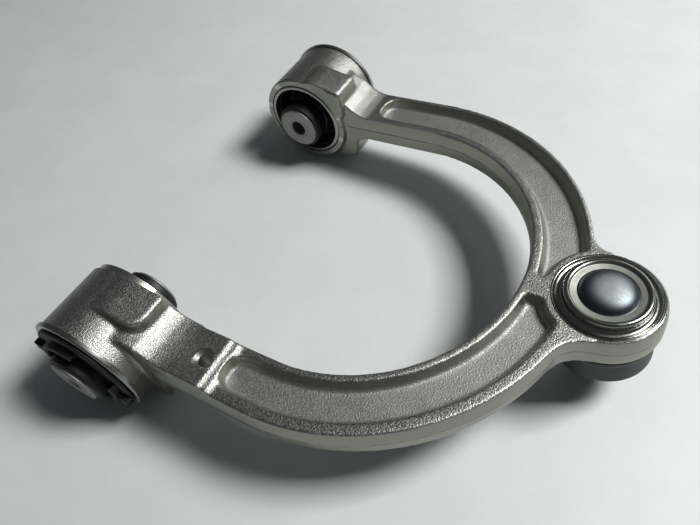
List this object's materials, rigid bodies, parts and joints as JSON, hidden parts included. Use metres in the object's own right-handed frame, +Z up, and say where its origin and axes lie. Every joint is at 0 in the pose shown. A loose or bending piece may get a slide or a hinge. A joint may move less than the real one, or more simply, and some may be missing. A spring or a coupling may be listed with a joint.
{
  "type": "suspension control arm",
  "caption": "Forged horseshoe upper control arm with two bonded rubber bushes, a domed closing cap and a booted ball joint with a pinch-bolt pin.",
  "frame": {"origin": "on the floor under the middle of the arm as it lies on the flanges of its two bushes and the tip of its stud", "axes": "+X from the bush axis towards the ball joint, +Y along the bush axis towards the front eye, +Z up from the floor. The arm lies 4.4 degrees nose-up, so the ball joint's own axis leans by that much from Z"},
  "size_m": [0.2802, 0.28, 0.0649],
  "materials": {
    "forged_aluminium": "shot-blasted forging with a fine sandy grain",
    "sleeve_aluminium": "turned, matt grey",
    "bush_rubber": "moulded black rubber",
    "boot_rubber": "smooth moulded black rubber",
    "plated_steel": "pressed and zinc plated",
    "stud_steel": "turned and ground, lightly oiled",
    "spring_steel": "drawn spring wire",
    "bearing_plastic": "natural acetal"
  },
  "bodies": {
    "arm": {"arm_forging": "forged_aluminium", "front_outer_sleeve": "sleeve_aluminium", "front_rubber_core": "bush_rubber", "front_flange_buffer": "bush_rubber", "rear_outer_sleeve": "sleeve_aluminium", "rear_rubber_core": "bush_rubber", "rear_flange_buffer": "bush_rubber", "bearing_shell": "bearing_plastic", "support_ring": "sleeve_aluminium", "closing_cap": "plated_steel", "boot": "boot_rubber", "boot_band": "spring_steel"},
    "front_pivot": {"front_inner_sleeve": "sleeve_aluminium", "front_inboard_collar": "bush_rubber", "front_outboard_collar": "bush_rubber"},
    "rear_pivot": {"rear_inner_sleeve": "sleeve_aluminium", "rear_inboard_collar": "bush_rubber", "rear_outboard_collar": "bush_rubber"},
    "cup": {"pressure_cup": "bearing_plastic"},
    "boot_foot": {"boot_lip": "boot_rubber", "boot_foot_ring": "spring_steel"},
    "stud": {"ball_stud": "stud_steel"}
  },
  "joints": [
    {"name": "front_bush_twist", "type": "hinge", "parent": "arm", "child": "front_pivot", "pos_m": [-0.1077, 0.1075, 0.0325], "axis": [0, 1, 0], "range_deg": [-25, 25], "stiffness_Nm_per_rad": 60},
    {"name": "rear_bush_twist", "type": "hinge", "parent": "arm", "child": "rear_pivot", "pos_m": [-0.1077, -0.1075, 0.0325], "axis": [0, 1, 0], "range_deg": [-25, 25], "stiffness_Nm_per_rad": 60},
    {"name": "stud_roll", "type": "hinge", "parent": "arm", "child": "cup", "pos_m": [0.11277, 0.0035, 0.04786], "axis": [0.9971, 0, 0.0763], "range_deg": [-20, 20], "deforming": ["boot"]},
    {"name": "stud_swing", "type": "hinge", "parent": "cup", "child": "boot_foot", "pos_m": [0.11277, 0.0035, 0.04786], "axis": [0, 1, 0], "range_deg": [-20, 20], "deforming": ["boot"]},
    {"name": "stud_spin", "type": "hinge", "parent": "boot_foot", "child": "stud", "pos_m": [0.11277, 0.0035, 0.04786], "axis": [-0.0763, 0, 0.9971], "continuous": true}
  ],
  "couplings": [
    {"joint": "rear_bush_twist", "follows": "front_bush_twist", "ratio": 1}
  ]
}
